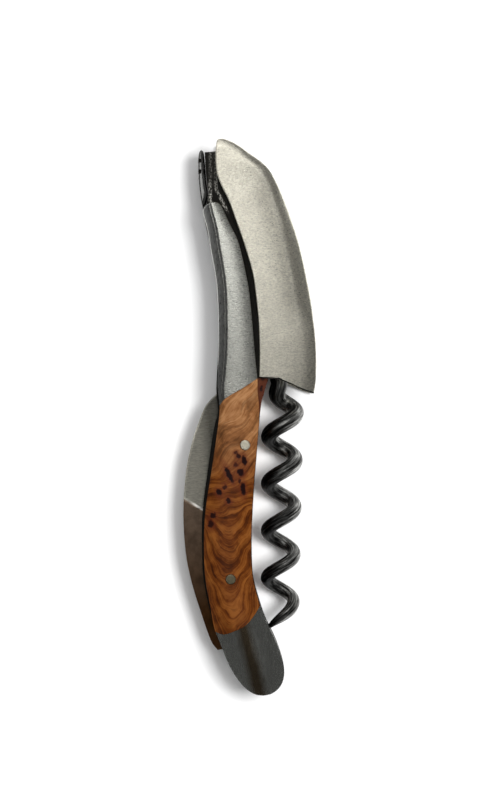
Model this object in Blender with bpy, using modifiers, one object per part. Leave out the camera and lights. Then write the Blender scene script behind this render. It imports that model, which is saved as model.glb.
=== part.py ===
"""Lever corkscrew (sommelier knife), folded shut and lying on its side.

The length runs along +Y with the lever hinge at the top end, the worm lies on the +X side and the foil
blade on the -X side.  Z is the thickness: the knife rests on Z = 0 and its mid-plane is half-way up.
Outlines are given in millimetres in the XY plane and are scaled to metres when an object is made.
"""
import math

import bmesh
import bpy
from mathutils import Matrix, Vector

MM = 0.001

# Driving dimensions, in millimetres.
THICKNESS = 13.0
MID = THICKNESS / 2.0
GAP = 0.1                      # between neighbouring flat layers
HALF_SLOT = 1.9                # half the space between the liners
SPRING_PLAY = 0.15             # between the spring and each liner
LINER = 1.2
HALF_EAR = 4.7                 # half the thickness of the ears that carry the worm
LEVER_WALL = 1.5
WEB = 1.6                      # wall along the outer edge of the lever
WEB_LOW, WEB_HIGH = 21.5, 51.0
SCALE_ROUND = 1.5              # rounding along the rims of scales and bolsters
LEVER_ROUND = 0.8
JOINT_GAP = 0.1                # between bolster and wood
PIN_PLAY = 0.15
PIN_INSET = 0.02               # pin ends below the outer faces

LEVER_PIVOT = (-5.1, 53.8)
WORM_PIVOT = (5.3, 15.5)
BLADE_PIVOT = (-2.9, -50.1)
EAR_RADIUS = 3.6
HEAD_RADIUS = 3.9              # liner around the lever pin
LINER_PROUD = 0.5              # how far the liners stand out of the wood along the back
LINER_PROUD_LOW = 0.1          # the same near the lower end of the back
PROUD_FULL_Y, PROUD_LOW_Y = -12.0, -28.0   # between these heights the one fades into the other
BACK_X, BACK_LOW_Y = -7.0, -40.0           # the back is left of the one and above the other
WASHER_RADIUS = 2.0
HUB_RADIUS, HALF_HUB = 3.2, 1.75
TANG_RADIUS = 2.6
CAM_GAP = 0.4                  # between the round tang and the spring

# Worm, in millimetres.
WORM_PITCH = 10.25
WORM_RADIUS = 2.88             # from the helix axis to the middle of the wire
WORM_TOP_X, WORM_END_X = 7.25, 6.6
WORM_FIRST_RIGHT = 1.0         # height at which the highest turn is furthest right
WORM_LAST_RIGHT = WORM_FIRST_RIGHT - 4 * WORM_PITCH
LAST_STRETCH = 1.34            # the turn is steeper below the lowest right-hand point
POINT_DRAWN_IN = 0.4           # share by which the point is bent back to the mid-plane
WORM_SHANK_Y = 8.2             # the wire lies on the mid-plane above this height
WORM_LEAN = 0.9                # how far left of the helix axis the shank starts
SHANK_BEND = (5.9, 10.4)
HUB_OVERLAP = 2.6              # from the pivot to the start of the wire inside the hub
WORM_END_Y = -45.7
WIRE_TOP, WIRE_LOW, WIRE_TIP = 1.84, 1.3, 0.35
POINT_LENGTH = 4.5
TURN_POINTS = 16

# Pins: place and radius in millimetres.
PINS = {
    "lever_pivot_pin": (LEVER_PIVOT, 1.0),
    "worm_pivot_pin": (WORM_PIVOT, 1.2),
    "blade_pivot_pin": (BLADE_PIVOT, 1.2),
    "upper_scale_pin": ((-0.97, -5.95), 1.05),
    "lower_scale_pin": ((-4.07, -34.78), 1.05),
    "upper_bolster_pin": ((-6.9, 40.6), 0.8),
    "lower_bolster_pin": ((-3.4, 14.0), 0.8),
}

# Outlines.  Each is a smooth curve through its points; neighbouring ones meet at corners.
SIDE_RIGHT = [(-6.39, 45.9), (-5.69, 44.72), (-4.22, 41.58), (-2.75, 38.66), (-1.75, 35.4), (-0.48, 29.57),
              (0.17, 25.24), (0.76, 18.74), (1.32, 12.25), (1.75, 8.3), (1.85, 5.4), (2.1, 3.0),
              (2.16, -0.74)]
SIDE_LOW = [(2.16, -0.74), (1.62, -7.23), (0.93, -15.89), (0.5, -24.55), (0.54, -31.04), (0.95, -35.37),
            (2.27, -40.24), (3.53, -43.81), (5.69, -48.35), (7.19, -52.68), (7.51, -54.85),
            (7.23, -56.84), (5.69, -58.9), (4.44, -59.7), (2.81, -59.98), (1.36, -59.75),
            (-0.89, -58.27), (-4.22, -53.77), (-6.47, -48.35), (-8.01, -44.03), (-9.78, -35.37),
            (-10.17, -27.8), (-9.85, -20.22), (-8.55, -11.56), (-7.27, -2.9), (-6.8, 1.43), (-7.2, 6.2),
            (-6.67, 17.66), (-6.97, 27.4), (-8.33, 36.06), (-10.02, 44.1)]
SIDE_TOP = [(-10.02, 44.1), (-9.85, 45.05), (-8.98, 45.8), (-7.9, 46.2), (-6.93, 46.2), (-6.39, 45.9)]
HEAD_LEFT = [(-10.02, 44.1), (-9.3, 46.2), (-8.9, 48.4), (-9.05, 49.7), (-9.37, 52.3), (-9.59, 55.5),
             (-9.7, 57.3)]
HEAD_RIGHT = [(-1.2, 53.8), (-1.3, 50.0), (-0.2, 44.0), (1.0, 38.0), (2.0, 32.0), (2.6, 26.0), (3.4, 21.4)]
FLANGE_LOW = [(3.9, 7.92), (3.55, 6.84), (3.05, 4.98), (2.62, 3.5), (2.3, 1.2)]
FRONT_JOINT = [(5.5, 10.8), (3.9, 9.75), (1.62, 8.35), (0.11, 7.34), (-2.06, 5.97), (-4.22, 4.74),
               (-5.52, 3.81), (-6.39, 2.62), (-8.0, 0.4)]
REAR_JOINT = [(3.6, -38.6), (2.16, -40.78), (0.89, -42.73), (-0.87, -44.68), (-3.35, -45.97),
              (-5.52, -46.69), (-7.25, -46.3), (-9.5, -45.6)]
LEVER_RIGHT = [(-7.03, 59.5), (-6.49, 59.96), (-5.3, 59.87), (-3.03, 58.9), (0.11, 56.73), (3.46, 54.16),
               (5.52, 51.21), (7.47, 46.88), (9.07, 42.55), (10.45, 38.23), (11.54, 33.9),
               (12.42, 29.57), (13.23, 25.24), (13.79, 20.91), (14.22, 16.58), (14.39, 12.25),
               (14.26, 7.92), (13.83, 5.13)]
LEVER_FOOT = [(13.83, 5.13), (11.52, 5.87), (8.77, 7.16), (6.6, 8.07), (5.52, 8.31), (2.06, 8.46)]
LEVER_LEFT = [(2.06, 8.46), (2.12, 14.42), (1.88, 20.91), (1.19, 27.4), (0.46, 31.73), (-1.5, 38.23),
              (-3.03, 42.55), (-4.61, 46.88), (-6.19, 50.2), (-7.0, 52.6), (-7.25, 55.5), (-7.03, 59.5)]
BLADE_BACK = [(-6.77, 5.45), (-8.55, 3.7), (-9.74, 2.12), (-10.82, -0.52), (-12.38, -5.06),
              (-13.77, -11.56), (-14.39, -20.22), (-13.92, -28.87), (-12.68, -35.37), (-10.71, -41.86),
              (-8.42, -48.35), (-6.84, -50.6)]
BLADE_EDGE = [(-6.77, 5.45), (-5.9, 0.0), (-5.3, -8.0), (-5.6, -16.0), (-6.4, -25.0), (-7.0, -33.0),
              (-6.7, -40.0)]
SPRING_OUTER = [(-8.9, 57.2), (-9.4, 55.0), (-9.2, 52.0), (-8.8, 49.5), (-8.7, 48.0), (-9.15, 46.0),
                (-9.5, 44.0), (-8.7, 40.0), (-7.9, 35.0), (-7.2, 30.0), (-6.7, 24.0), (-6.4, 17.0),
                (-6.6, 10.0), (-6.75, 8.0)]
SPRING_POCKET = [(-4.9, 6.9), (-4.2, 2.0), (-3.7, -6.0), (-4.0, -15.0), (-4.9, -24.0), (-6.1, -31.0),
                 (-6.2, -35.0), (-5.6, -40.0), (-4.6, -44.0)]
SPRING_INNER = [(-1.0, -44.0), (-0.3, -39.0), (0.1, -34.0), (0.05, -28.0), (0.2, -20.0), (0.7, -12.0),
                (1.5, -3.0), (2.2, 3.0), (1.6, 8.0), (0.6, 13.0), (0.0, 18.0), (-0.6, 21.4)]
SPRING_NECK = [(-2.6, 22.0), (-3.0, 27.0), (-3.9, 33.0), (-5.4, 40.0), (-6.8, 46.0), (-7.5, 51.0),
               (-7.6, 57.0)]
SPACER_LEFT = [(-7.1, 53.8), (-7.0, 51.0), (-6.3, 46.0), (-4.9, 40.0), (-3.4, 33.0), (-2.5, 27.0),
               (-2.1, 22.6)]
SPACER_RIGHT = [(0.6, 22.6), (0.2, 27.0), (-0.4, 33.0), (-1.6, 39.0), (-2.6, 44.0), (-3.1, 49.0),
                (-3.1, 53.8)]
SPACER_TOP_RADIUS = 2.0
ORNAMENT_LEFT = [(-10.17, 45.3), (-10.6, 47.5), (-10.93, 50.1), (-11.1, 52.3)]
ORNAMENT_NOTCHES = [(-10.5, 52.6), (-10.5, 53.7), (-11.15, 53.9), (-11.15, 54.9), (-10.55, 55.1),
                    (-10.55, 56.0)]
ORNAMENT_TOP = [(-11.04, 56.4), (-10.85, 57.4), (-10.39, 58.0), (-9.95, 57.4)]
ORNAMENT_RIGHT = [(-9.95, 57.4), (-9.74, 55.5), (-9.52, 52.3), (-9.2, 49.7), (-9.05, 48.4),
                  (-9.5, 46.4), (-10.17, 45.3)]
HALF_ORNAMENT = 2.6

HALF_BLADE = 1.3
EDGE_LEFT = 0.25               # half-thickness left at the cutting edge
PLUNGE_Y = -19.2
SPAN_POINTS = 3


def clear_scene():
    for obj in list(bpy.data.objects):
        bpy.data.objects.remove(obj, do_unlink=True)


def new_collection(name):
    collection = bpy.data.collections.new(name)
    bpy.context.scene.collection.children.link(collection)
    return collection


def new_material(name, colour, roughness, metallic):
    material = bpy.data.materials.new(name)
    material.use_nodes = True
    shader = material.node_tree.nodes["Principled BSDF"]
    shader.inputs["Base Color"].default_value = (*colour, 1.0)
    shader.inputs["Roughness"].default_value = roughness
    shader.inputs["Metallic"].default_value = metallic
    return material


def smooth(points, span=SPAN_POINTS):
    """Points along a smooth curve through the given ones, ends included."""
    if len(points) < 3:
        return list(points)
    knots = [Vector(p) for p in points]
    knots = [2 * knots[0] - knots[1]] + knots + [2 * knots[-1] - knots[-2]]
    curve = []
    for a, b, c, d in zip(knots, knots[1:], knots[2:], knots[3:]):
        for step in range(span):
            t = step / span
            place = 0.5 * (2 * b + (c - a) * t + (2 * a - 5 * b + 4 * c - d) * t ** 2
                           + (3 * b - 3 * c + d - a) * t ** 3)
            curve.append(tuple(place))
    curve.append(tuple(knots[-2]))
    return curve


def arc(centre, radius, start, end, steps):
    """Points on an arc, angles in degrees."""
    points = []
    for step in range(steps + 1):
        angle = math.radians(start + (end - start) * step / steps)
        points.append((centre[0] + radius * math.cos(angle), centre[1] + radius * math.sin(angle)))
    return points


def join_runs(*runs):
    """One closed outline from runs of points, without doubled points."""
    outline = []
    for run in runs:
        for point in run:
            if not outline or math.dist(point, outline[-1]) > 0.02:
                outline.append(point)
    if math.dist(outline[0], outline[-1]) < 0.02:
        outline.pop()
    return outline


def raised(points, rise):
    return [(x, y + rise) for x, y in points]


def curve_to_mesh(curve_object):
    """Replace a curve object by a mesh object of the same name, its caps welded."""
    depsgraph = bpy.context.evaluated_depsgraph_get()
    mesh = bpy.data.meshes.new_from_object(curve_object.evaluated_get(depsgraph))
    matrix = curve_object.matrix_world.copy()
    name = curve_object.name
    collection = curve_object.users_collection[0]
    bpy.data.objects.remove(curve_object, do_unlink=True)
    cage = bmesh.new()
    cage.from_mesh(mesh)
    bmesh.ops.remove_doubles(cage, verts=cage.verts, dist=0.01 * MM)
    bmesh.ops.dissolve_limit(cage, angle_limit=math.radians(0.5), verts=cage.verts, edges=cage.edges)
    bmesh.ops.recalc_face_normals(cage, faces=cage.faces)
    cage.to_mesh(mesh)
    cage.free()
    mesh.name = name
    obj = bpy.data.objects.new(name, mesh)
    obj.matrix_world = matrix
    collection.objects.link(obj)
    return obj


def plate(name, outline, low, high, collection):
    """A flat piece: the outline between two heights (all in millimetres)."""
    data = bpy.data.curves.new(name, "CURVE")
    data.dimensions = "2D"
    data.fill_mode = "BOTH"
    data.extrude = (high - low) / 2.0 * MM
    data.resolution_u = 1
    data.render_resolution_u = 0
    spline = data.splines.new("POLY")
    spline.points.add(len(outline) - 1)
    for point, (x, y) in zip(spline.points, outline):
        point.co = (x * MM, y * MM, 0.0, 1.0)
    spline.use_cyclic_u = True
    obj = bpy.data.objects.new(name, data)
    obj.location.z = (low + high) / 2.0 * MM
    collection.objects.link(obj)
    bpy.context.view_layer.update()
    return curve_to_mesh(obj)


def cylinder(name, centre, radius, low, high, collection, sides=20):
    cage = bmesh.new()
    bmesh.ops.create_cone(cage, cap_ends=True, segments=sides, radius1=radius * MM, radius2=radius * MM,
                          depth=(high - low) * MM)
    mesh = bpy.data.meshes.new(name)
    cage.to_mesh(mesh)
    cage.free()
    obj = bpy.data.objects.new(name, mesh)
    obj.location = (centre[0] * MM, centre[1] * MM, (low + high) / 2.0 * MM)
    collection.objects.link(obj)
    return obj


def boolean(obj, other, operation):
    modifier = obj.modifiers.new(operation.title(), "BOOLEAN")
    modifier.operation = operation
    modifier.object = other
    modifier.solver = "EXACT"


def hide_cutter(obj):
    obj.hide_render = True
    obj.display_type = "WIRE"


def round_rim(obj, width, segments, side):
    """Bevel the rim of a plate's top (+1), bottom (-1) or both (0) faces."""
    cage = bmesh.new()
    cage.from_mesh(obj.data)
    weight = cage.edges.layers.float.new("bevel_weight_edge")
    for edge in cage.edges:
        flat = [face for face in edge.link_faces if abs(face.normal.z) > 0.9]
        if len(flat) == 1 and (side == 0 or flat[0].normal.z * side > 0):
            edge[weight] = 1.0
    cage.to_mesh(obj.data)
    cage.free()
    bevel = obj.modifiers.new("Rim", "BEVEL")
    bevel.limit_method = "WEIGHT"
    bevel.width = width * MM
    bevel.segments = segments


def layer(side, near, far):
    """Heights of a layer that starts and ends so far from the mid-plane, on one side of it."""
    heights = sorted((MID + side * near, MID + side * far))
    return heights[0], heights[1]


def ear_arc(start, end):
    return arc(WORM_PIVOT, EAR_RADIUS, start, end, 14)


def liner_proud(x, y):
    """How far a liner stands out of the wood at one point of the side."""
    if x >= BACK_X or not BACK_LOW_Y < y < 0.0:
        return 0.0
    share = (y - PROUD_LOW_Y) / (PROUD_FULL_Y - PROUD_LOW_Y)
    share = min(max(share, 0.0), 1.0)
    return LINER_PROUD_LOW + share * (LINER_PROUD - LINER_PROUD_LOW)


def liner_outline():
    """The whole side, with the head around the lever pin and the ear around the worm pin."""
    top = arc(LEVER_PIVOT, HEAD_RADIUS, 90.0, 0.0, 6)
    low = [(x - liner_proud(x, y), y) for x, y in SIDE_LOW]
    return join_runs(smooth(low), smooth(HEAD_LEFT), top, smooth(HEAD_RIGHT), ear_arc(95.0, -100.0),
                     FLANGE_LOW)


def side_outline():
    return join_runs(smooth(SIDE_RIGHT), smooth(SIDE_LOW), smooth(SIDE_TOP))


def flange_outline():
    return join_runs([(-1.0, 24.0), (2.4, 21.5)], ear_arc(95.0, -100.0), FLANGE_LOW,
                     [(1.6, -1.0), (-1.0, 0.0)])


def region(name, top, bottom):
    """A prism between two joint lines, wide and thick enough to cover the whole side."""
    outline = join_runs(top, list(reversed(bottom)))
    obj = plate(name, outline, -2.0, THICKNESS + 2.0, CUTTERS)
    hide_cutter(obj)
    return obj


def make_regions():
    half = JOINT_GAP / 2.0
    front = [(20.0, 22.0)] + smooth(FRONT_JOINT) + [(-20.0, -8.0)]
    rear = [(20.0, -28.0)] + smooth(REAR_JOINT) + [(-20.0, -40.0)]
    return {
        "front_bolster": region("front_region", [(20.0, 70.0), (-20.0, 70.0)], raised(front, half)),
        "scale": region("scale_region", raised(front, -half), raised(rear, half)),
        "rear_bolster": region("rear_region", raised(rear, -half), [(20.0, -70.0), (-20.0, -70.0)]),
    }


def make_pin_cutters():
    """Round holes for all the pins, a little wider than the pins."""
    cutters = {}
    for name, (centre, radius) in PINS.items():
        hole = cylinder(name + "_hole", centre, radius + PIN_PLAY, -2.0, THICKNESS + 2.0, CUTTERS)
        hide_cutter(hole)
        cutters[name] = hole
    return cutters


def drill(obj, *pins):
    for pin in pins:
        boolean(obj, HOLES[pin], "DIFFERENCE")


def finish(obj, material, parent, smooth_angle=None):
    obj.data.materials.clear()
    obj.data.materials.append(material)
    obj.parent = parent
    obj.matrix_parent_inverse = parent.matrix_world.inverted()
    if smooth_angle:
        obj.data.shade_smooth()
        obj.data.set_sharp_from_angle(angle=math.radians(smooth_angle))
    return obj


def make_side_piece(prefix, side, kind, material, pins):
    """A bolster or scale: its share of the rounded side, with the recessed flange joined on."""
    low, high = layer(side, HALF_SLOT + LINER + GAP, MID)
    obj = plate(f"{prefix}_{kind}", side_outline(), low, high, PARTS)
    round_rim(obj, SCALE_ROUND, 3, side)
    if kind != "rear_bolster":
        boolean(obj, FLANGES[side], "UNION")
    boolean(obj, REGIONS[kind], "INTERSECT")
    drill(obj, *pins)
    return finish(obj, material, HANDLE)


def make_flange(side):
    low, high = layer(side, HALF_SLOT + LINER + GAP, HALF_EAR)
    obj = plate(f"flange_{'near' if side > 0 else 'far'}", flange_outline(), low, high, CUTTERS)
    hide_cutter(obj)
    return obj


def make_side(prefix, side):
    low, high = layer(side, HALF_SLOT, HALF_SLOT + LINER)
    liner = plate(f"{prefix}_liner", liner_outline(), low, high, PARTS)
    drill(liner, *PINS)
    finish(liner, STEEL, HANDLE)
    make_side_piece(prefix, side, "front_bolster", BRUSHED,
                    ("worm_pivot_pin", "upper_bolster_pin", "lower_bolster_pin"))
    make_side_piece(prefix, side, "scale", WOOD, ("upper_scale_pin", "lower_scale_pin"))
    make_side_piece(prefix, side, "rear_bolster", POLISHED, ("blade_pivot_pin",))
    low, high = layer(side, HALF_SLOT + LINER + GAP, MID - LEVER_WALL - GAP)
    washer = cylinder(f"{prefix}_lever_washer", LEVER_PIVOT, WASHER_RADIUS, low, high, PARTS)
    drill(washer, "lever_pivot_pin")
    finish(washer, NICKEL, HANDLE, 40.0)


def make_back_spring():
    nose = arc(BLADE_PIVOT, TANG_RADIUS + CAM_GAP, 112.0, 66.0, 6)
    outline = join_runs(smooth(SPRING_OUTER), smooth(SPRING_POCKET), nose, smooth(SPRING_INNER),
                        smooth(SPRING_NECK))
    half = HALF_SLOT - SPRING_PLAY
    spring = plate("back_spring", outline, MID - half, MID + half, PARTS)
    drill(spring, "upper_scale_pin", "lower_scale_pin", "upper_bolster_pin", "lower_bolster_pin")
    finish(spring, STEEL, HANDLE)


def make_spring_head():
    outline = join_runs(smooth(ORNAMENT_LEFT), ORNAMENT_NOTCHES, smooth(ORNAMENT_TOP),
                        smooth(ORNAMENT_RIGHT))
    head = plate("spring_head", outline, MID - HALF_ORNAMENT, MID + HALF_ORNAMENT, PARTS)
    finish(head, STEEL, HANDLE)


def make_front_spacer():
    top = arc(LEVER_PIVOT, SPACER_TOP_RADIUS, 0.0, 180.0, 10)
    outline = join_runs(smooth(SPACER_LEFT), smooth(SPACER_RIGHT), top)
    half = HALF_SLOT - GAP
    spacer = plate("front_spacer", outline, MID - half, MID + half, PARTS)
    drill(spacer, "lever_pivot_pin")
    finish(spacer, STEEL, HANDLE)


def make_pins():
    reach = {"worm_pivot_pin": HALF_EAR}
    for name, (centre, radius) in PINS.items():
        half = reach.get(name, MID - PIN_INSET)
        pin = cylinder(name, centre, radius, MID - half, MID + half, PARTS)
        finish(pin, NICKEL if "scale" in name else BRUSHED, HANDLE, 40.0)


def lever_interior():
    """Everything inside the lever: the channel, the open head and the fork at the foot."""
    web = []
    for x, y in smooth(LEVER_RIGHT):
        if WEB_LOW <= y <= WEB_HIGH:
            web.append((x - WEB, y))
    low, high = layer(1, LEVER_WALL - MID, MID - LEVER_WALL)
    outline = join_runs([(-20.0, 70.0), (20.0, 70.0), (20.0, WEB_HIGH), (web[0][0], WEB_HIGH)], web,
                        [(web[-1][0], WEB_LOW), (20.0, WEB_LOW), (20.0, 0.0), (-20.0, 0.0)])
    obj = plate("lever_interior", outline, low, high, CUTTERS)
    hide_cutter(obj)
    return obj


def make_lever():
    outline = join_runs(smooth(LEVER_RIGHT), smooth(LEVER_FOOT), smooth(LEVER_LEFT))
    lever = plate("lever", outline, 0.0, THICKNESS, PARTS)
    round_rim(lever, LEVER_ROUND, 2, 0)
    boolean(lever, lever_interior(), "DIFFERENCE")
    drill(lever, "lever_pivot_pin")
    finish(lever, LEVER_STEEL, LEVER)


def wire_radius(y):
    if y < WORM_END_Y + POINT_LENGTH:
        share = (y - WORM_END_Y) / POINT_LENGTH
        return WIRE_TIP + (WIRE_LOW - WIRE_TIP) * share
    share = (y - WORM_END_Y) / (WORM_SHANK_Y - WORM_END_Y)
    return WIRE_LOW + (WIRE_TOP - WIRE_LOW) * share


def worm_path():
    """Points down the wire: from the hub, off the axis into the helix, and along it to the point."""
    points = [(WORM_PIVOT[0], WORM_PIVOT[1] - HUB_OVERLAP, 0.0, WIRE_TOP), (*SHANK_BEND, 0.0, WIRE_TOP)]
    steps = round((WORM_SHANK_Y - WORM_END_Y) / WORM_PITCH * TURN_POINTS)
    for step in range(steps + 1):
        y = WORM_SHANK_Y + (WORM_END_Y - WORM_SHANK_Y) * step / steps
        last = min(0.0, y - WORM_LAST_RIGHT)
        angle = 2.0 * math.pi * (y - WORM_FIRST_RIGHT - last * (1.0 - 1.0 / LAST_STRETCH)) / WORM_PITCH
        drawn_in = POINT_DRAWN_IN * max(0.0, 1.0 - (y - WORM_END_Y) / POINT_LENGTH)
        share = min(1.0, (WORM_SHANK_Y - y) / (WORM_SHANK_Y - WORM_FIRST_RIGHT))
        radius = WORM_RADIUS * share * share * (3.0 - 2.0 * share)
        along = (WORM_SHANK_Y - y) / (WORM_SHANK_Y - WORM_END_Y)
        axis_x = WORM_TOP_X + (WORM_END_X - WORM_TOP_X) * along - WORM_LEAN * (1.0 - share) ** 2
        z = -radius * math.sin(angle) * (1.0 - drawn_in)
        points.append((axis_x + radius * math.cos(angle), y, z, wire_radius(y)))
    return points


def make_worm():
    data = bpy.data.curves.new("worm", "CURVE")
    data.dimensions = "3D"
    data.bevel_depth = MM
    data.bevel_resolution = 2
    data.use_fill_caps = True
    data.resolution_u = 1
    data.render_resolution_u = 0
    path = worm_path()
    spline = data.splines.new("POLY")
    spline.points.add(len(path) - 1)
    for point, (x, y, z, radius) in zip(spline.points, path):
        point.co = (x * MM, y * MM, (MID + z) * MM, 1.0)
        point.radius = radius
    curve = bpy.data.objects.new("worm", data)
    PARTS.objects.link(curve)
    bpy.context.view_layer.update()
    worm = curve_to_mesh(curve)
    hub = cylinder("worm_hub", WORM_PIVOT, HUB_RADIUS, MID - HALF_HUB, MID + HALF_HUB, CUTTERS, 24)
    hide_cutter(hub)
    boolean(worm, hub, "UNION")
    drill(worm, "worm_pivot_pin")
    finish(worm, DARK, WORM)


def make_grind(side):
    """A slab that takes the side of the blade down to a thin edge above the plunge line."""
    width, length, height = 30.0, 40.0, 10.0
    back_x, edge_x = -14.5, -5.3
    slope = math.atan2(HALF_BLADE - EDGE_LEFT, edge_x - back_x)
    cage = bmesh.new()
    bmesh.ops.create_cube(cage, size=1.0)
    bmesh.ops.scale(cage, vec=(width * MM, length * MM, height * MM), verts=cage.verts)
    bmesh.ops.translate(cage, vec=(0.0, 0.0, height / 2.0 * MM), verts=cage.verts)
    mesh = bpy.data.meshes.new("grind")
    cage.to_mesh(mesh)
    cage.free()
    obj = bpy.data.objects.new(f"grind_{'near' if side > 0 else 'far'}", mesh)
    flip = Matrix.Rotation(math.pi, 4, "Y") if side < 0 else Matrix.Identity(4)
    place = Matrix.Translation(Vector((back_x, PLUNGE_Y + length / 2.0, MID + side * HALF_BLADE)) * MM)
    obj.matrix_world = place @ Matrix.Rotation(side * slope, 4, "Y") @ flip
    CUTTERS.objects.link(obj)
    hide_cutter(obj)
    return obj


def make_foil_blade():
    tang = arc(BLADE_PIVOT, TANG_RADIUS, 128.0, -174.0, 20)
    outline = join_runs(smooth(BLADE_EDGE), tang, list(reversed(smooth(BLADE_BACK))))
    blade = plate("foil_blade", outline, MID - HALF_BLADE, MID + HALF_BLADE, PARTS)
    boolean(blade, make_grind(1), "DIFFERENCE")
    boolean(blade, make_grind(-1), "DIFFERENCE")
    drill(blade, "blade_pivot_pin")
    finish(blade, SATIN, BLADE)


def new_empty(name, centre):
    empty = bpy.data.objects.new(name, None)
    empty.location = (centre[0] * MM, centre[1] * MM, MID * MM)
    PARTS.objects.link(empty)
    bpy.context.view_layer.update()
    return empty


clear_scene()
PARTS = new_collection("lever_corkscrew")
CUTTERS = new_collection("cutters")

LEVER_STEEL = new_material("lever_steel", (0.66, 0.64, 0.60), 0.32, 1.0)
BRUSHED = new_material("brushed_steel", (0.55, 0.55, 0.52), 0.34, 1.0)
POLISHED = new_material("polished_steel", (0.32, 0.33, 0.32), 0.12, 1.0)
STEEL = new_material("spring_steel", (0.42, 0.42, 0.41), 0.3, 1.0)
SATIN = new_material("blade_steel", (0.45, 0.45, 0.42), 0.3, 1.0)
DARK = new_material("worm_steel", (0.25, 0.26, 0.28), 0.18, 1.0)
NICKEL = new_material("nickel_silver", (0.62, 0.58, 0.5), 0.25, 1.0)
WOOD = new_material("figured_wood", (0.36, 0.19, 0.09), 0.35, 0.0)

HANDLE = new_empty("handle", (0.0, 0.0))
LEVER = new_empty("lever_axis", LEVER_PIVOT)
WORM = new_empty("worm_axis", WORM_PIVOT)
BLADE = new_empty("blade_axis", BLADE_PIVOT)

HOLES = make_pin_cutters()
REGIONS = make_regions()
FLANGES = {side: make_flange(side) for side in (1, -1)}

make_side("near", 1)
make_side("far", -1)
make_back_spring()
make_spring_head()
make_front_spacer()
make_pins()
make_lever()
make_worm()
make_foil_blade()
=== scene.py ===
"""Looks of the lever corkscrew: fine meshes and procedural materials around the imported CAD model.

Outlines are in millimetres in the frame of the CAD model: +Y along the knife towards the lever hinge,
+X towards the worm and +Z up through its thickness.  solid() and the other makers scale them to metres.
"""
import math

import bmesh
import bpy
import numpy as np
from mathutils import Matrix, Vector


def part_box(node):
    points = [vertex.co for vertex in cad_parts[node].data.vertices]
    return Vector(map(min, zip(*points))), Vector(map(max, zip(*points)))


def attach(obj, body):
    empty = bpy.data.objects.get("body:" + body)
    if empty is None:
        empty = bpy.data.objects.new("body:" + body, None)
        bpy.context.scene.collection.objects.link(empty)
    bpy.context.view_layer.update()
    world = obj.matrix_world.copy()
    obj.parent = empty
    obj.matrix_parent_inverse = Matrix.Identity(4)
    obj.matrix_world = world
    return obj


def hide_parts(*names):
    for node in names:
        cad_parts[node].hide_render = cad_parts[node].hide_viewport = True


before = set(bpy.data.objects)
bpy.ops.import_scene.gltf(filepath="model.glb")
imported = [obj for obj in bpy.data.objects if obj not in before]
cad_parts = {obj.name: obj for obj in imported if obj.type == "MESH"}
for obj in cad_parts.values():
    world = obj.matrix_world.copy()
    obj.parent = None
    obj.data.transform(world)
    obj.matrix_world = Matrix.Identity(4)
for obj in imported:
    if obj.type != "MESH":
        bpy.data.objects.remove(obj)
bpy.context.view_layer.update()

MM = 0.001


def centre_of(node):
    """Plan position of a CAD node's middle, in millimetres."""
    low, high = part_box(node)
    return ((low.x + high.x) / 2.0 / MM, (low.y + high.y) / 2.0 / MM)


def level(node, end):
    """Height of a CAD node's underside (0) or top (1), in millimetres."""
    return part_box(node)[end].z / MM


THICKNESS = level("lever", 1)
MID = THICKNESS / 2.0
HALF = THICKNESS / 2.0                                # half the knife's thickness
LAYER = level("near_front_bolster", 0) - MID          # inner face of scales and bolsters, from the middle
EAR = level("worm_pivot_pin", 1) - MID                # outer face of the ears that carry the worm
WORM_PIVOT = centre_of("worm_pivot_pin")
LEVER_PIVOT = centre_of("lever_pivot_pin")
BLADE_PIVOT = centre_of("blade_pivot_pin")
EAR_RADIUS = 3.6
PAST = 2.0                                            # how far cutting shapes reach past the knife
PIVOT_HOLE = 1.25

# ---------------------------------------------------------------- outlines, in millimetres

SIDE_LEFT = [(-7.4, 46.25), (-8.2, 46.15), (-9.0, 45.8), (-9.75, 45.1), (-10.02, 44.1), (-9.05, 40.39),
             (-8.33, 36.06), (-7.53, 31.73), (-6.97, 27.4), (-6.71, 20.91), (-6.71, 14.42), (-6.97, 10.09),
             (-7.2, 6.5), (-6.9, 3.8), (-6.8, 1.43), (-7.27, -2.9), (-8.55, -11.56), (-9.85, -20.22),
             (-10.17, -27.8), (-9.78, -35.37), (-8.01, -44.03), (-6.47, -48.35), (-4.22, -53.77),
             (-2.06, -57.1), (-0.3, -58.85), (1.3, -59.75), (2.9, -59.98)]
SIDE_RIGHT = [(-7.4, 46.25), (-6.85, 46.1), (-6.39, 45.75), (-5.69, 44.72), (-4.22, 41.58), (-2.75, 38.66),
              (-1.75, 35.4), (-0.48, 29.57), (0.17, 25.24), (0.76, 18.74), (1.32, 12.25), (1.75, 8.3),
              (1.85, 5.4), (2.1, 3.0), (2.16, -0.74), (1.62, -7.23), (0.93, -15.89), (0.5, -24.55),
              (0.54, -31.04), (0.95, -35.37), (2.27, -40.24), (3.53, -43.81), (5.69, -48.35),
              (7.19, -52.68), (7.47, -54.85), (7.2, -56.84), (6.3, -58.4), (4.7, -59.6), (2.9, -59.98)]
FLANGE_LOW = [(3.9, 7.92), (3.55, 6.84), (3.05, 4.98), (2.62, 3.5), (2.3, 1.2)]
FRONT_JOINT = [(5.5, 10.8), (3.9, 9.75), (1.62, 8.35), (0.11, 7.34), (-2.06, 5.97), (-4.22, 4.74),
               (-5.52, 3.81), (-6.39, 2.62), (-8.0, 0.4)]
REAR_JOINT = [(3.6, -38.6), (2.16, -40.78), (0.89, -42.73), (-0.87, -44.68), (-3.35, -45.97),
              (-5.52, -46.69), (-7.25, -46.3), (-9.5, -45.6)]
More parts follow.
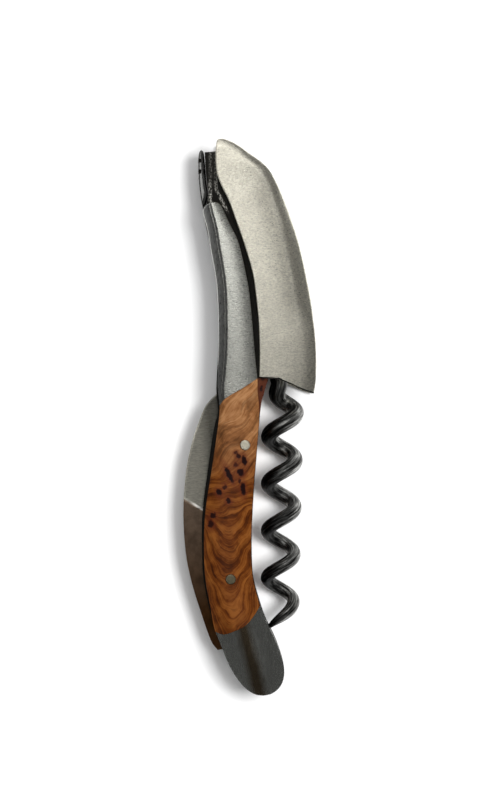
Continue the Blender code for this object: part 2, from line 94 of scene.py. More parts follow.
LEVER_LEFT = [(2.06, 8.46), (2.12, 14.42), (1.88, 20.91), (1.19, 27.4), (0.46, 31.73), (-1.5, 38.23),
              (-3.03, 42.55), (-4.61, 46.88), (-6.19, 50.2), (-7.0, 52.6), (-7.25, 55.5), (-7.2, 58.4),
              (-7.03, 59.5), (-6.7, 59.9)]
LEVER_RIGHT = [(13.83, 5.13), (14.26, 7.92), (14.39, 12.25), (14.22, 16.58), (13.79, 20.91),
               (13.23, 25.24), (12.42, 29.57), (11.54, 33.9), (10.45, 38.23), (9.07, 42.55),
               (7.47, 46.88), (5.52, 51.21), (3.46, 54.16), (0.11, 56.73), (-3.03, 58.9),
               (-5.3, 59.87), (-6.2, 59.99), (-6.7, 59.9)]
LEVER_FOOT = [(2.06, 8.46), (5.52, 8.31), (6.6, 8.07), (8.77, 7.16), (11.52, 5.87), (13.83, 5.13)]
BLADE_BACK = [(-6.77, 5.45), (-8.55, 3.7), (-9.74, 2.12), (-10.82, -0.52), (-12.38, -5.06),
              (-13.77, -11.56), (-14.37, -20.22), (-13.92, -28.87), (-12.68, -35.37), (-10.71, -41.86),
              (-8.42, -48.35), (-6.95, -50.5)]
BLADE_EDGE = [(-6.77, 5.45), (-5.9, 0.0), (-5.3, -8.0), (-5.6, -16.0), (-6.4, -25.0), (-7.0, -33.0),
              (-6.7, -40.0), (-5.6, -45.5), (-5.3, -48.5), (-5.9, -50.3)]


# ---------------------------------------------------------------- plane geometry

def smooth(points, span=8):
    """Points along a smooth curve through the given ones, ends included."""
    guides = [Vector(p) for p in points]
    guides = [2 * guides[0] - guides[1]] + guides + [2 * guides[-1] - guides[-2]]
    curve = []
    for a, b, c, d in zip(guides, guides[1:], guides[2:], guides[3:]):
        for step in range(span):
            t = step / span
            place = 0.5 * (2 * b + (c - a) * t + (2 * a - 5 * b + 4 * c - d) * t ** 2
                           + (3 * b - 3 * c + d - a) * t ** 3)
            curve.append(tuple(place))
    curve.append(tuple(guides[-2]))
    return curve


def arc(centre, radius, start, end, steps):
    """Points on an arc, angles in degrees."""
    angles = [math.radians(start + (end - start) * step / steps) for step in range(steps + 1)]
    return [(centre[0] + radius * math.cos(a), centre[1] + radius * math.sin(a)) for a in angles]


def resample(points, shares):
    """Points of a polyline at the given shares of its length."""
    line = np.array(points, float)
    lengths = np.concatenate([[0.0], np.cumsum(np.hypot(*np.diff(line, axis=0).T))])
    places = np.array(shares) * lengths[-1]
    return np.stack([np.interp(places, lengths, line[:, 0]), np.interp(places, lengths, line[:, 1])], 1)


def distance_to(points, line):
    """Distance from each point to a polyline."""
    line = np.array(line, float)
    start, step = line[:-1], np.diff(line, axis=0)
    size = (step ** 2).sum(1)
    best = np.full(len(points), 1e9)
    for origin, leg, squared in zip(start, step, size):
        if squared < 1e-12:
            continue
        rel = points - origin
        t = np.clip(rel @ leg / squared, 0.0, 1.0)
        best = np.minimum(best, np.hypot(*(rel - t[:, None] * leg).T))
    return best


def ramp(value, low, high):
    """0 below low, 1 above high and smooth between."""
    t = np.clip((value - low) / (high - low), 0.0, 1.0)
    return t * t * (3.0 - 2.0 * t)


def rounding(distance, radius):
    """How far a rounded rim lies below its flat top, at a distance from the edge."""
    inside = np.clip(1.0 - distance / radius, 0.0, 1.0)
    return radius * (1.0 - np.sqrt(1.0 - inside ** 2))


# ---------------------------------------------------------------- meshes

def link(obj):
    bpy.context.scene.collection.objects.link(obj)
    return obj


def mesh_object(name, cage):
    bmesh.ops.remove_doubles(cage, verts=cage.verts, dist=0.002 * MM)
    bmesh.ops.dissolve_degenerate(cage, dist=0.001 * MM, edges=cage.edges)
    bmesh.ops.recalc_face_normals(cage, faces=cage.faces)
    mesh = bpy.data.meshes.new(name)
    cage.to_mesh(mesh)
    cage.free()
    return link(bpy.data.objects.new(name, mesh))


EDGE_CROWDING = 0.35                                 # share by which rows crowd towards the two ends
FIRST_FADE = 14.0                                    # how fast the first row's own curve dies out


def solid(name, left, right, rows, columns, top, bottom, first=None):
    """A closed solid over the plan between two edge curves.

    top and bottom give heights from plan points (arrays).  first is a curve for the first row to follow.
    """
    share_rows = (1.0 - np.cos(np.pi * np.arange(rows + 1) / rows)) / 2.0
    share_rows = EDGE_CROWDING * share_rows + (1.0 - EDGE_CROWDING) * np.linspace(0.0, 1.0, rows + 1)
    share_columns = (1.0 - np.cos(np.pi * np.arange(columns + 1) / columns)) / 2.0
    a = resample(left, share_rows)[:, None, :]
    b = resample(right, share_rows)[:, None, :]
    u = share_columns[None, :, None]
    plan = a + (b - a) * u
    if first is not None:
        pull = np.exp(-FIRST_FADE * share_rows)[:, None, None]
        plan = plan + pull * (resample(first, share_columns) - plan[0])
    flat = plan.reshape(-1, 2)
    cage = bmesh.new()
    layers = []
    for height in (top(flat), bottom(flat)):
        layers.append([cage.verts.new((x * MM, y * MM, z * MM)) for (x, y), z in zip(flat, height)])
    width = columns + 1
    for row in range(rows):
        for column in range(columns):
            i = row * width + column
            for verts in layers:
                cage.faces.new((verts[i], verts[i + 1], verts[i + 1 + width], verts[i + width]))
    rim = list(range(width))
    rim += [r * width + columns for r in range(1, rows + 1)]
    rim += [rows * width + c for c in range(columns - 1, -1, -1)]
    rim += [r * width for r in range(rows - 1, 0, -1)]
    for i, j in zip(rim, rim[1:] + rim[:1]):
        cage.faces.new((layers[0][i], layers[0][j], layers[1][j], layers[1][i]))
    return mesh_object(name, cage)


def prism(name, outline, low, high):
    """A flat piece with the given outline between two heights."""
    cage = bmesh.new()
    face = cage.faces.new([cage.verts.new((x * MM, y * MM, low * MM)) for x, y in outline])
    made = bmesh.ops.extrude_face_region(cage, geom=[face])
    moved = [item for item in made["geom"] if isinstance(item, bmesh.types.BMVert)]
    bmesh.ops.translate(cage, verts=moved, vec=(0.0, 0.0, (high - low) * MM))
    return mesh_object(name, cage)


def disc(name, centre, radius, low, high, sides=48):
    return prism(name, arc(centre, radius, 0.0, 360.0 - 360.0 / sides, sides - 1), low, high)


def settle(obj):
    """Apply the object's modifiers."""
    depsgraph = bpy.context.evaluated_depsgraph_get()
    mesh = bpy.data.meshes.new_from_object(obj.evaluated_get(depsgraph))
    obj.modifiers.clear()
    obj.data = mesh
    return obj


def combine(obj, other, operation, keep=False):
    """Boolean of obj with other, applied; other is removed unless it is still needed."""
    modifier = obj.modifiers.new("Boolean", "BOOLEAN")
    modifier.operation = operation
    modifier.object = other
    modifier.solver = "EXACT"
    settle(obj)
    if not keep:
        bpy.data.objects.remove(other, do_unlink=True)
    return obj


def drill(obj, centre, radius):
    """A round hole right through a piece."""
    return combine(obj, disc("hole", centre, radius, -PAST, THICKNESS + PAST), "DIFFERENCE")


def bevel(obj, width, segments=3, angle=40.0):
    modifier = obj.modifiers.new("Bevel", "BEVEL")
    modifier.width = width * MM
    modifier.segments = segments
    modifier.limit_method = "ANGLE"
    modifier.angle_limit = math.radians(angle)
    return settle(obj)


def piece(obj, body, material, nodes, angle=32.0):
    """Shade a finished piece, put it on its body and let it stand for CAD nodes."""
    obj.data.materials.clear()
    for one in material if isinstance(material, list) else [material]:
        obj.data.materials.append(one)
    obj.data.shade_smooth()
    obj.data.set_sharp_from_angle(angle=math.radians(angle))
    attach(obj, body)
    if nodes:
        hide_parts(*nodes)
    return obj


# ---------------------------------------------------------------- materials

def add(tree, kind, inputs=None, **settings):
    """A shader node; inputs are given by name or number, as values or as sockets to link."""
    node = tree.nodes.new("ShaderNode" + kind)
    for key, value in settings.items():
        setattr(node, key, value)
    for key, value in (inputs or {}).items():
        if isinstance(value, bpy.types.NodeSocket):
            tree.links.new(value, node.inputs[key])
        else:
            node.inputs[key].default_value = value
    return node


def start_material(name, metallic, coat=0.0):
    material = bpy.data.materials.new(name)
    material.use_nodes = True
    tree = material.node_tree
    shader = tree.nodes["Principled BSDF"]
    shader.inputs["Metallic"].default_value = metallic
    shader.inputs["Coat Weight"].default_value = coat
    return material, tree, shader


def colour_ramp(tree, factor, stops):
    """A colour ramp with (place, colour) stops."""
    node = add(tree, "ValToRGB", {"Fac": factor})
    while len(node.color_ramp.elements) < len(stops):
        node.color_ramp.elements.new(0.5)
    for element, (place, colour) in zip(node.color_ramp.elements, stops):
        element.position = place
        element.color = (*colour, 1.0)
    return node.outputs["Color"]


def scaled(colour, factor):
    return tuple(channel * factor for channel in colour)


def object_position(tree, stretch):
    """Object coordinates in millimetres, stretched along each axis."""
    place = add(tree, "TexCoord").outputs["Object"]
    return add(tree, "Mapping", {"Vector": place, "Scale": tuple(s / MM for s in stretch)}).outputs["Vector"]


def noise(tree, vector, scale=1.0, detail=3.0, roughness=0.5):
    node = add(tree, "TexNoise", {"Vector": vector, "Scale": scale, "Detail": detail, "Roughness": roughness})
    return node.outputs["Fac"]


def remap(tree, value, low, high, to_low, to_high):
    return add(tree, "MapRange", {0: value, 1: low, 2: high, 3: to_low, 4: to_high}).outputs[0]


def maths(tree, operation, *values):
    return add(tree, "Math", dict(enumerate(values)), operation=operation).outputs[0]


def vector_maths(tree, operation, **inputs):
    named = {"a": 0, "b": 1, "scale": "Scale"}
    node = add(tree, "VectorMath", {named[key]: value for key, value in inputs.items()}, operation=operation)
    return node.outputs["Value" if operation in ("DOT_PRODUCT", "LENGTH") else "Vector"]


def mix_colour(tree, factor, first, second):
    inputs = {"Factor": factor, "A": first, "B": second}
    return add(tree, "Mix", inputs, data_type="RGBA").outputs["Result"]


def along(tree, place, direction, offset=0.0):
    """Distance along a direction in the plan, past an offset."""
    return maths(tree, "ADD", vector_maths(tree, "DOT_PRODUCT", a=place, b=(*direction, 0.0)), offset)


def wobbled(tree, place, scale, amount, detail=1.0):
    """Places pushed about by noise."""
    push = add(tree, "TexNoise", {"Vector": place, "Scale": scale, "Detail": detail}).outputs["Color"]
    push = vector_maths(tree, "SUBTRACT", a=push, b=(0.5, 0.5, 0.5))
    return vector_maths(tree, "ADD", a=place, b=vector_maths(tree, "SCALE", a=push, scale=amount))


def bump(tree, shader, height, distance, strength=1.0):
    node = add(tree, "Bump", {"Height": height, "Distance": distance * MM, "Strength": strength})
    tree.links.new(node.outputs["Normal"], shader.inputs["Normal"])


BLOTCH = 0.05                                        # contrast of the large patches on brushed metal
GRAIN_SHARE = 0.45                                   # share of even grain among the brush marks
SHADE_LOW_Y, SHADE_HIGH_Y = 10.0, 34.0                 # between these heights the painted shade of the low end gives way


def brushed_metal(name, colour, roughness, stretch, depth=0.004, contrast=0.12, painted_low_shade=1.0, spread=0.07):
    """Metal with fine brush marks; stretch is small along the marks and large across them.

    The low-end factor is painted shade: the tone near the handle's middle against that at its front end.
    """
    material, tree, shader = start_material(name, 1.0)
    marks = noise(tree, object_position(tree, stretch), 1.0, 4.0, 0.6)
    patches = noise(tree, object_position(tree, (0.25, 0.25, 0.25)), 1.0, 3.0, 0.55)
    grain = noise(tree, object_position(tree, (2.2, 2.8, 2.8)), 1.0, 2.0, 0.7)
    tone = add(tree, "Mix", {"Factor": GRAIN_SHARE, "A": marks, "B": grain}).outputs["Result"]
    low, high = scaled(colour, 1.0 - contrast), scaled(colour, 1.0 + contrast)
    base = colour_ramp(tree, tone, [(0.35, low), (0.65, high)])
    front = along(tree, object_position(tree, (1.0, 1.0, 1.0)), (0.0, 1.0))
    shade = remap(tree, patches, 0.3, 0.7, 1.0 - BLOTCH, 1.0 + BLOTCH)
    # Painted shade: the colour darkens towards the low end.
    low_end_shade = remap(tree, front, SHADE_LOW_Y, SHADE_HIGH_Y, painted_low_shade, 1.0)
    shade = maths(tree, "MULTIPLY", shade, low_end_shade)
    tree.links.new(vector_maths(tree, "SCALE", a=base, scale=shade), shader.inputs["Base Color"])
    tree.links.new(remap(tree, marks, 0.3, 0.7, roughness - spread, roughness + spread),
                   shader.inputs["Roughness"])
    bump(tree, shader, marks, depth)
    return material


def worm_metal():
    """Dark wire with long worn streaks along it (texture V is the length in millimetres).

    The side of the coils that lies next to the handle when closed is painted darker, as shade.
    """
    material, tree, shader = start_material("worm_dark_steel", 1.0)
    place = add(tree, "TexCoord").outputs["UV"]
    drawn_out = add(tree, "Mapping", {"Vector": place, "Scale": (18.0, 0.2, 1.0)}).outputs["Vector"]
    streaks = noise(tree, drawn_out, 1.0, 5.0, 0.65)
    fine = noise(tree, add(tree, "Mapping", {"Vector": place, "Scale": (70.0, 0.6, 1.0)}).outputs["Vector"])
    base = colour_ramp(tree, streaks, [(0.4, (0.015, 0.015, 0.014)), (0.54, (0.2, 0.2, 0.19)),
                                       (0.66, (0.8, 0.8, 0.77))])
    across = add(tree, "SeparateXYZ", {"Vector": object_position(tree, (1.0, 1.0, 1.0))}).outputs["X"]
    # Painted shade, darkest on the side next to the handle.
    shade = remap(tree, across, 4.6, 7.6, 0.15, 1.0)
    tree.links.new(vector_maths(tree, "SCALE", a=base, scale=shade), shader.inputs["Base Color"])
    tree.links.new(remap(tree, streaks, 0.25, 0.75, 0.36, 0.54), shader.inputs["Roughness"])
    bump(tree, shader, maths(tree, "ADD", streaks, fine), 0.05)
    return material


LINER_SHADE_BLACK = (0.018, 0.017, 0.015, 1.0)
LINER_GLINT = (0.7, 0.68, 0.62, 1.0)


def liner_metal():
    """Near-black steel, whose darkness paints the shade in gaps and recesses; at the head two filed strips
    carry painted glints in specks.
    """
    material, tree, shader = start_material("liner_painted_shade", 1.0)
    place = wobbled(tree, object_position(tree, (1.0, 1.0, 1.0)), 2.0, 0.5)
    parts = add(tree, "SeparateXYZ", {"Vector": place}).outputs
    specks = noise(tree, object_position(tree, (5.5, 2.6, 1.0)), 1.0, 3.0, 0.6)
    outer = maths(tree, "ABSOLUTE", maths(tree, "ADD", parts["X"], 8.5))
    below = maths(tree, "MAXIMUM", maths(tree, "SUBTRACT", 49.5, parts["Y"]), 0.0)
    slant = maths(tree, "MULTIPLY", below, 0.5)
    inner = maths(tree, "ABSOLUTE", maths(tree, "SUBTRACT", maths(tree, "ADD", parts["X"], 7.3), slant))
    strips = remap(tree, maths(tree, "MINIMUM", outer, inner), 0.2, 0.5, 1.0, 0.0)
    end = remap(tree, parts["Y"], 44.0, 45.5, 0.0, 1.0)
    head = maths(tree, "MULTIPLY", end, remap(tree, parts["Y"], 52.0, 48.5, 0.3, 1.0))
    # Painted glints on the filed strips at the head.
    shine = remap(tree, specks, 0.49, 0.6, 0.0, 1.0)
    shine = maths(tree, "MULTIPLY", maths(tree, "MULTIPLY", shine, strips), head)
    tree.links.new(mix_colour(tree, shine, LINER_SHADE_BLACK, LINER_GLINT), shader.inputs["Base Color"])
    shader.inputs["Roughness"].default_value = 0.45
    bump(tree, shader, specks, 0.05)
    return material


# Painted shadow of the handle on the blade: distance from the line where the blade lies in the handle is the
# direction below dotted with (x, y), plus the offset.
HANDLE_SHADOW_ACROSS, HANDLE_SHADOW_OFFSET = (-0.99, -0.13), -8.7
# Plunge line of the blade: distance past it towards the point is PLUNGE . (x, y) + PLUNGE_OFFSET.
PLUNGE = (0.56, 1.0)
PLUNGE_OFFSET = 25.76
BEVEL = (0.52, 0.5, 0.425)
PLUNGE_HIGHLIGHT = (0.75, 0.73, 0.68, 1.0)
RICASSO_TOP = (0.19, 0.135, 0.095)
RICASSO_LOW = (0.075, 0.034, 0.013)


def blade_metal():
    """Light ground bevel, a highlight painted along the plunge line, the handle's shadow painted darker where
    the blade lies in it, and a dark brown unground end.
    """
    material, tree, shader = start_material("blade_ground", 1.0)
    place = object_position(tree, (1.0, 1.0, 1.0))
    marks = noise(tree, object_position(tree, (1.0, 6.0, 3.0)), 1.0, 4.0, 0.7)
    patches = noise(tree, object_position(tree, (0.4, 0.3, 0.3)), 1.0, 4.0, 0.6)
    ahead = along(tree, place, PLUNGE, PLUNGE_OFFSET)
    light = colour_ramp(tree, marks, [(0.35, scaled(BEVEL, 0.75)), (0.65, scaled(BEVEL, 1.25))])
    # Painted shadow of the handle, darkest along the line where the blade lies in it.
    back = remap(tree, along(tree, place, HANDLE_SHADOW_ACROSS, HANDLE_SHADOW_OFFSET), 0.0, 2.6, 0.45, 1.0)
    light = vector_maths(tree, "SCALE", a=light, scale=back)
    down = remap(tree, along(tree, place, (0.0, 1.0)), -20.0, -42.0, 0.0, 1.0)
    dark = mix_colour(tree, down, (*RICASSO_TOP, 1.0), (*RICASSO_LOW, 1.0))
    dark = vector_maths(tree, "SCALE", a=dark, scale=remap(tree, patches, 0.35, 0.65, 0.75, 1.3))
    colour = mix_colour(tree, remap(tree, ahead, 0.0, 0.2, 0.0, 1.0), dark, light)
    # Painted highlight along the plunge line, fading out towards the blade's back.
    line = remap(tree, maths(tree, "ABSOLUTE", maths(tree, "SUBTRACT", ahead, 0.1)), 0.1, 0.45, 0.9, 0.0)
    line = maths(tree, "MULTIPLY", line, remap(tree, along(tree, place, (1.0, 0.0)), -13.2, -11.6, 0.1, 1.0))
    colour = mix_colour(tree, line, colour, PLUNGE_HIGHLIGHT)
    tree.links.new(maths(tree, "SUBTRACT", 1.0, line), shader.inputs["Metallic"])
    tree.links.new(colour, shader.inputs["Base Color"])
    tree.links.new(remap(tree, marks, 0.3, 0.7, 0.32, 0.44), shader.inputs["Roughness"])
    bump(tree, shader, marks, 0.006)
    return material


REAR_GREY = (0.34, 0.345, 0.32)
REAR_REFLECTION_BROWN = (0.12, 0.092, 0.06)
# Distance from the crest of the rear bolsters is the size of CREST_ACROSS . (x, y) + CREST_OFFSET.
CREST_ACROSS, CREST_OFFSET = (0.97, 0.24), 12.2


def rear_metal():
    """Dark polished metal with a dark brown reflection painted along the crest."""
    material, tree, shader = start_material("rear_polished", 1.0)
    place = wobbled(tree, object_position(tree, (1.0, 1.0, 1.0)), 0.5, 0.8)
    marks = noise(tree, object_position(tree, (2.5, 0.5, 2.0)), 1.0, 3.0, 0.6)
    off_crest = maths(tree, "ABSOLUTE", along(tree, place, CREST_ACROSS, CREST_OFFSET))
    # Painted reflection: the crest is dark brown.
    crest = remap(tree, off_crest, 0.5, 2.2, 1.0, 0.0)
    colour = mix_colour(tree, crest, (*REAR_GREY, 1.0), (*REAR_REFLECTION_BROWN, 1.0))
    colour = vector_maths(tree, "SCALE", a=colour, scale=remap(tree, marks, 0.3, 0.7, 0.9, 1.1))
    tree.links.new(colour, shader.inputs["Base Color"])
    tree.links.new(remap(tree, marks, 0.3, 0.7, 0.24, 0.3), shader.inputs["Roughness"])
    bump(tree, shader, marks, 0.002)
    return material


# Knots of the burl: place, half-width, half-length, tilt of the long axis and darkness.
KNOTS = [
    (-2.9, -7.5, 0.35, 0.3, 0, 0.7), (-2.45, -8.3, 0.4, 0.5, 20, 0.9), (-1.2, -9.2, 0.45, 0.9, 15, 1.0),
    (-2.9, -10.2, 0.4, 0.4, 0, 0.7), (-4.4, -12.3, 0.42, 1.6, 28, 1.0), (-1.95, -11.8, 0.62, 0.72, 20, 1.0),
    (-2.1, -13.6, 0.3, 0.4, 0, 0.8), (-1.4, -15.3, 0.45, 1.15, 5, 1.0), (-5.35, -14.95, 0.42, 0.42, 0, 0.8),
    (-6.55, -16.1, 0.5, 0.62, 20, 1.0), (-4.55, -17.9, 0.42, 0.5, 10, 0.95),
    (-7.85, -21.05, 0.6, 0.55, 0, 0.95), (-8.35, -22.9, 0.5, 0.75, 0, 0.9), (2.5, 6.2, 0.3, 0.5, 0, 0.9),
    (2.9, 8.3, 0.25, 0.3, 0, 0.8),
]
WOOD_KNOT = (0.008, 0.002, 0.002, 1.0)
WOOD_HALO = (0.085, 0.018, 0.006, 1.0)
WOOD_RECESS_SHADE = (0.05, 0.01, 0.004, 1.0)
WOOD_FRONT = [(0.2, (0.101, 0.0385, 0.011)), (0.45, (0.211, 0.086, 0.029)), (0.75, (0.33, 0.162, 0.067))]
WOOD_REAR = [(0.2, (0.036, 0.008, 0.0015)), (0.45, (0.092, 0.023, 0.003)), (0.75, (0.182, 0.059, 0.011))]


def grain_field(tree, place):
    """A height whose contours are the figure: slanting lines in front, nested bowls behind."""
    warped = wobbled(tree, wobbled(tree, place, 0.6, 0.5, 2.0), 0.13, 5.0)
    parts = add(tree, "SeparateXYZ", {"Vector": warped}).outputs
    slant = vector_maths(tree, "DOT_PRODUCT", a=warped, b=(-0.77, 0.64, 0.15))
    side = maths(tree, "ADD", parts["X"], 4.2)
    bend = remap(tree, parts["Y"], -18.0, -38.0, 0.1, 0.6)
    sagging = maths(tree, "MULTIPLY", maths(tree, "MULTIPLY", side, side), bend)
    bowls = maths(tree, "SUBTRACT", parts["Y"], sagging)
    share = remap(tree, parts["Y"], -13.0, -21.0, 0.0, 1.0)
    field = add(tree, "Mix", {"Factor": share, "A": slant, "B": bowls}).outputs["Result"]
    drift = maths(tree, "MULTIPLY", parts["Z"], 0.4)
    return add(tree, "CombineXYZ", {"X": field, "Y": drift}).outputs["Vector"]


def knots(tree, place):
    """Darkness and reddish halo of the knots."""
    spots = wobbled(tree, place, 1.4, 0.9, 3.0)
    darkness = halo = None
    for x, y, wide, long, tilt, dark in KNOTS:
        local = add(tree, "Mapping", {"Vector": spots, "Location": (x, y, 0.0),
                                      "Rotation": (0.0, 0.0, math.radians(tilt)),
                                      "Scale": (wide, long, 60.0)}, vector_type="TEXTURE").outputs["Vector"]
        reach = vector_maths(tree, "LENGTH", a=local)
        spot = remap(tree, reach, 0.95, 1.4, dark, 0.0)
        ring = remap(tree, reach, 1.0, 3.0, 0.85, 0.0)
        darkness = spot if darkness is None else maths(tree, "MAXIMUM", darkness, spot)
        halo = ring if halo is None else maths(tree, "MAXIMUM", halo, ring)
    return darkness, halo


def recess_shade_mask(tree):
    """One on the recessed flange at the front end, where the shade under the lever is painted in darker."""
    parts = add(tree, "SeparateXYZ", {"Vector": object_position(tree, (1.0, 1.0, 1.0))}).outputs
    height = maths(tree, "ABSOLUTE", maths(tree, "SUBTRACT", parts["Z"], MID))
    low = maths(tree, "LESS_THAN", height, EAR + 0.3)
    front = maths(tree, "GREATER_THAN", parts["Y"], -1.5)
    return maths(tree, "MULTIPLY", maths(tree, "MULTIPLY", low, front), 0.9)


def burl_wood(name, offset):
    """Figured wood, light in front and deep brown behind, with a scatter of dark knots."""
    material, tree, shader = start_material(name, 0.0, coat=0.05)
    shader.inputs["Coat Roughness"].default_value = 0.15
    shader.inputs["Specular IOR Level"].default_value = 0.12
    place = vector_maths(tree, "ADD", a=object_position(tree, (1.0, 1.0, 1.0)), b=offset)
    field = grain_field(tree, place)
    bands = noise(tree, field, 0.36, 1.0, 0.5)
    lines = noise(tree, field, 2.0, 5.0, 0.65)
    mottling = noise(tree, place, 0.35, 4.0, 0.6)
    tone = maths(tree, "ADD", maths(tree, "MULTIPLY", bands, 0.8), maths(tree, "MULTIPLY", lines, 0.85))
    tone = maths(tree, "ADD", tone, maths(tree, "MULTIPLY", mottling, 0.6))
    tone = remap(tree, tone, 0.83, 1.46, 0.1, 0.95)
    behind = remap(tree, along(tree, wobbled(tree, place, 0.3, 6.0), (0.15, 1.0)), -3.0, -14.0, 0.0, 1.0)
    wood = mix_colour(tree, behind, colour_ramp(tree, tone, WOOD_FRONT), colour_ramp(tree, tone, WOOD_REAR))
    veins = remap(tree, noise(tree, field, 1.1, 2.0, 0.5), 0.56, 0.6, 0.0, 0.5)
    wood = mix_colour(tree, veins, wood, vector_maths(tree, "SCALE", a=wood, scale=0.45))
    darkness, halo = knots(tree, place)
    wood = mix_colour(tree, halo, wood, WOOD_HALO)
    # Painted shade on the recessed flange under the lever.
    wood = mix_colour(tree, recess_shade_mask(tree), wood, WOOD_RECESS_SHADE)
    tree.links.new(mix_colour(tree, darkness, wood, WOOD_KNOT), shader.inputs["Base Color"])

    fibres = noise(tree, field, 9.0, 3.0, 0.6)
    tree.links.new(remap(tree, fibres, 0.3, 0.7, 0.3, 0.42), shader.inputs["Roughness"])
    bump(tree, shader, maths(tree, "MULTIPLY_ADD", darkness, -2.0, fibres), 0.012)
    return material


# The last number of the lever's, bolster's and facet's metals paints shade at their low end.
LEVER_STEEL = brushed_metal("lever_brushed", (0.82, 0.785, 0.665), 0.33, (1.3, 8.0, 4.0), 0.05, 0.32, 0.76)
BOLSTER_STEEL = brushed_metal("bolster_brushed", (0.68, 0.68, 0.62), 0.31, (1.3, 6.0, 4.0), 0.05, 0.3, 0.72)
# A darker copy of the bolster steel for the facet, which paints shade onto it.
FACET_SHADE_STEEL = brushed_metal("bolster_facet_painted_shade", (0.33, 0.33, 0.32), 0.31, (4.0, 0.8, 2.0), 0.02, 0.2, 0.8)
# Near-black steel for the lever's foot edge, which paints the shade under it.
FOOT_SHADE_STEEL = brushed_metal("lever_foot_painted_shade", (0.06, 0.06, 0.055), 0.4, (2.0, 2.0, 2.0))
REAR_STEEL = rear_metal()
BLADE_STEEL = blade_metal()
LINER_SHADE_STEEL = liner_metal()
SPRING_STEEL = brushed_metal("spring_steel", (0.16, 0.16, 0.155), 0.28, (1.0, 4.0, 4.0), 0.01, 0.15)
HEAD_STEEL = brushed_metal("head_steel", (0.17, 0.17, 0.165), 0.25, (4.0, 0.8, 1.0), 0.003, 0.1)
NICKEL = brushed_metal("nickel_silver_pin", (0.85, 0.8, 0.64), 0.35, (3.0, 3.0, 3.0), 0.012, 0.08)
NICKEL_WORN = brushed_metal("nickel_silver_worn", (0.27, 0.24, 0.16), 0.35, (3.0, 3.0, 3.0), 0.012, 0.12)
WORM_STEEL = worm_metal()
WOOD_NEAR = burl_wood("burl_near", (0.0, 0.0, 0.0))
WOOD_FAR = burl_wood("burl_far", (1.5, 9.0, 20.0))


# ---------------------------------------------------------------- scales and bolsters

LEFT_LINE = smooth(SIDE_LEFT)
RIGHT_LINE = smooth(SIDE_RIGHT)
# The long edges alone, carried on straight past the top end.
LEFT_EDGE = [(-10.9, 48.0)] + [point for point in LEFT_LINE if point[1] < 44.0]
RIGHT_EDGE = [(-7.2, 48.0)] + [point for point in RIGHT_LINE if point[1] < 44.5]
FACET_SLOPE = 0.55
FACET_WIDTHS = ([-30.0, 0.0, 8.0, 25.0, 45.0], [0.5, 0.9, 1.45, 1.65, 1.85])    # heights, widths there
GROOVE_DEPTH, GROOVE_WIDTH = 0.14, 0.22
EDGE_ROUND = 0.15
FRONT_CROWN, CROWN_POWER = 0.5, 2.2
REAR_CROWN = 2.0
REAR_REACHES = ([-60.0, -48.0, -30.0, 0.0], [6.4, 5.6, 4.6, 4.0])               # how far in the crown goes
LEFT_INSET, RIGHT_INSET = 0.35, -0.12
SCALE_PIN_HOLE = 1.12
JOINT_GAP = 0.02


def side_height(plan):
    """Height of the outside of scales and bolsters above the mid-plane: faceted back, crowned rear."""
    y = plan[:, 1]
    left = distance_to(plan, LEFT_EDGE)
    right = distance_to(plan, RIGHT_EDGE)
    rim = np.minimum(distance_to(plan, LEFT_LINE), distance_to(plan, RIGHT_LINE))
    facet_width = np.interp(y, *FACET_WIDTHS)
    facet = FACET_SLOPE * np.clip(facet_width - left, 0.0, None)
    groove = GROOVE_DEPTH * np.exp(-((left - facet_width) / GROOVE_WIDTH) ** 2) * ramp(y, 2.0, 6.0)
    share = left / (left + right + 1e-6)
    crown = FRONT_CROWN * np.abs(2.0 * share - 1.0) ** CROWN_POWER
    front = facet + groove + crown + rounding(rim, EDGE_ROUND)
    inside = np.clip(1.0 - rim / np.interp(y, *REAR_REACHES), 0.0, 1.0)
    rear = REAR_CROWN * inside ** 2
    back = ramp(-y, -6.0, 42.0)
    return HALF - (1.0 - back) * front - back * rear


def inset(line, amount):
    """The line moved sideways where the wood is, so that the near-black liner shows as a thin dark edge of
    painted shade.
    """
    return [(x + amount * float(ramp(y, -46.0, -40.0) * (1.0 - ramp(y, 5.0, 13.0))), y) for x, y in line]


def side_solid(name, side):
    def outer(plan):
        return MID + side * side_height(plan)

    def inner(plan):
        return np.full(len(plan), MID + side * LAYER)

    lines = inset(LEFT_LINE, LEFT_INSET), inset(RIGHT_LINE, RIGHT_INSET)
    return solid(name, *lines, 300, 84, outer, inner)


def flange_solid(side):
    outline = [(-1.0, 24.0), (2.4, 21.5)] + arc(WORM_PIVOT, EAR_RADIUS, 95.0, -100.0, 40)
    outline += smooth(FLANGE_LOW, 4) + [(1.6, -1.0), (-1.0, 0.0)]
    heights = sorted((MID + side * LAYER, MID + side * EAR))
    return prism("flange", outline, heights[0], heights[1])


def joint_region(kind):
    """Prism over the share of one side that a bolster or scale takes."""
    front = [(20.0, 22.0)] + smooth(FRONT_JOINT) + [(-20.0, -8.0)]
    rear = [(20.0, -28.0)] + smooth(REAR_JOINT) + [(-20.0, -40.0)]

    def moved(line, dy):
        return [(x, y + dy) for x, y in line]

    edges = {
        "front_bolster": ([(20.0, 70.0), (-20.0, 70.0)], moved(front, JOINT_GAP)),
        "scale": (moved(front, -JOINT_GAP), moved(rear, JOINT_GAP)),
        "rear_bolster": (moved(rear, -JOINT_GAP), [(20.0, -70.0), (-20.0, -70.0)]),
    }[kind]
    return prism("region", edges[0] + edges[1][::-1], -PAST, THICKNESS + PAST)


